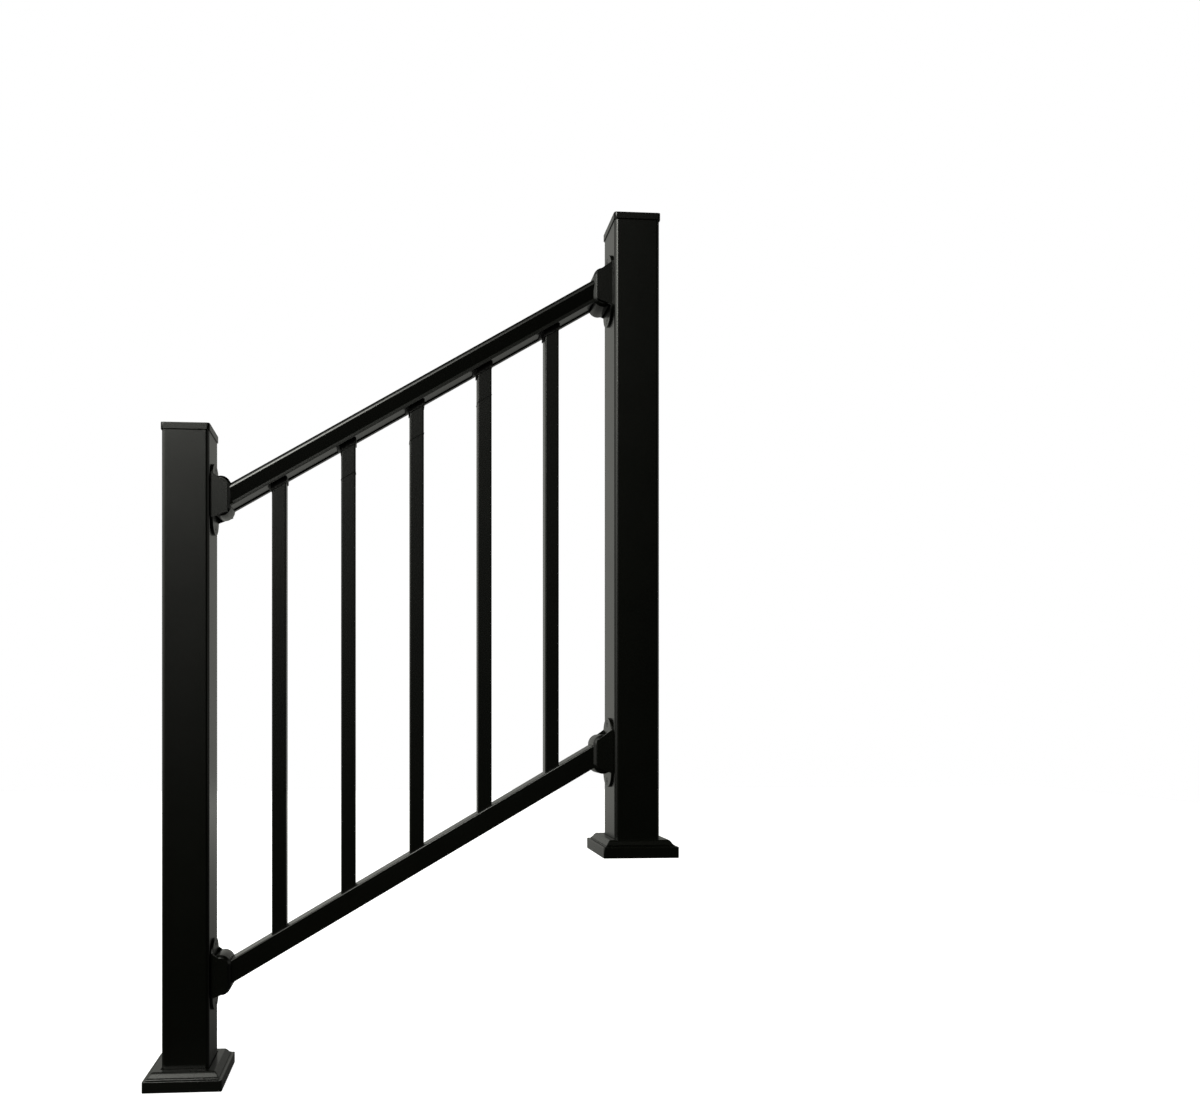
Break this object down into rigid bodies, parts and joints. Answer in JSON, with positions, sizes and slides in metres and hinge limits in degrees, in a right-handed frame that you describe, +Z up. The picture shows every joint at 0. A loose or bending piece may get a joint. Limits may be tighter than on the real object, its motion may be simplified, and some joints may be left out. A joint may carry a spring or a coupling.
{
  "type": "stair railing section",
  "caption": "Raked metal railing section for a flight of steps: two square capped posts with base covers, a crowned top rail, a bottom rail, upright balusters and swivel-set brackets.",
  "frame": {"origin": "centre of the underside of the lower post's base plate", "axes": "+Z up, +X along the stair towards the upper post, +Y from the side seen in the picture to the far side"},
  "size_m": [0.87, 0.126, 1.444],
  "materials": {
    "powder_coated_aluminium": "satin powder coat",
    "powder_coated_cast_aluminium": "satin powder coat",
    "black_nylon": "moulded, matt"
  },
  "bodies": {
    "root": {"lower_post": "powder_coated_aluminium", "lower_post_cap": "powder_coated_cast_aluminium", "lower_base_plate": "powder_coated_aluminium", "lower_base_cover": "powder_coated_cast_aluminium", "lower_top_bracket": "powder_coated_cast_aluminium", "lower_top_cup": "powder_coated_cast_aluminium", "lower_bottom_bracket": "powder_coated_cast_aluminium", "lower_bottom_cup": "powder_coated_cast_aluminium", "upper_post": "powder_coated_aluminium", "upper_post_cap": "powder_coated_cast_aluminium", "upper_base_plate": "powder_coated_aluminium", "upper_base_cover": "powder_coated_cast_aluminium", "upper_top_bracket": "powder_coated_cast_aluminium", "upper_top_cup": "powder_coated_cast_aluminium", "upper_bottom_bracket": "powder_coated_cast_aluminium", "upper_bottom_cup": "powder_coated_cast_aluminium", "top_rail": "powder_coated_aluminium", "baluster_strip": "powder_coated_aluminium", "bottom_rail": "powder_coated_aluminium", "baluster_1": "powder_coated_aluminium", "baluster_collar_1": "black_nylon", "baluster_2": "powder_coated_aluminium", "baluster_collar_2": "black_nylon", "baluster_3": "powder_coated_aluminium", "baluster_collar_3": "black_nylon", "baluster_4": "powder_coated_aluminium", "baluster_collar_4": "black_nylon", "baluster_5": "powder_coated_aluminium", "baluster_collar_5": "black_nylon"}
  },
  "joints": []
}
